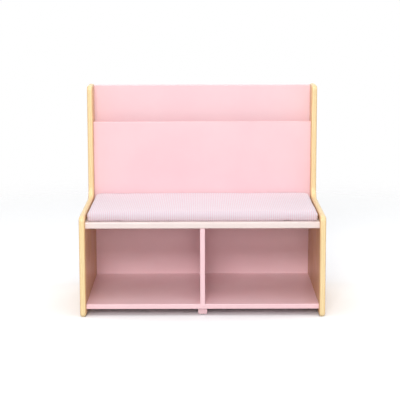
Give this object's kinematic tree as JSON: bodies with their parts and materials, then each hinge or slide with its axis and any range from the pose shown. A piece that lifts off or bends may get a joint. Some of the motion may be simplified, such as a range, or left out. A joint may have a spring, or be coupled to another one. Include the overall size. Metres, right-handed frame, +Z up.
{
  "type": "child storage bench",
  "caption": "Low child's bench with L-shaped wooden sides, open toy cubbies under a padded seat and a shallow picture-book pocket in the tall backrest.",
  "frame": {"origin": "on the floor, under the middle of the bench", "axes": "+X along the width, to the right seen from the front; +Y to the back; +Z up"},
  "size_m": [0.6, 0.38, 0.542],
  "materials": {
    "natural_wood": "clear satin lacquer over pale maple-like wood",
    "plug_wood": "clear satin lacquer over end-sanded wood plugs",
    "dowel_wood": "raw turned hardwood",
    "pink_paint": "smooth satin pink paint on board",
    "cream_paint": "smooth satin cream paint on board",
    "zinc_steel": "bright zinc plate",
    "felt": "pressed grey felt",
    "striped_cotton": "fine pink and white striped cotton",
    "foam": "open-cell foam",
    "zip_tape": "woven tape with a moulded coil",
    "zip_metal": "nickel plate"
  },
  "bodies": {
    "bench": {"left_side_panel": "natural_wood", "right_side_panel": "natural_wood", "seat_board": "cream_paint", "bottom_shelf": "pink_paint", "centre_divider": "pink_paint", "book_pocket_front": "pink_paint", "back_panel": "pink_paint", "centre_foot_front": "pink_paint", "centre_foot_rear": "pink_paint", "foot_glides": "felt", "left_connector_screws": "zinc_steel", "right_connector_screws": "zinc_steel", "left_screw_plugs": "plug_wood", "right_screw_plugs": "plug_wood", "left_dowels": "dowel_wood", "right_dowels": "dowel_wood", "divider_lower_screws": "zinc_steel", "divider_upper_screws": "zinc_steel", "divider_dowels": "dowel_wood", "pocket_front_screws": "zinc_steel", "back_panel_screws": "zinc_steel", "foot_screws": "zinc_steel"},
    "cushion": {"cushion_cover": "striped_cotton", "cushion_foam": "foam", "cushion_zip": "zip_tape", "cushion_zip_slider": "zip_metal"}
  },
  "joints": [
    {"name": "cushion_lift", "type": "slide", "parent": "bench", "child": "cushion", "axis": [0, 0, 1], "range_m": [0, 0.33]}
  ]
}
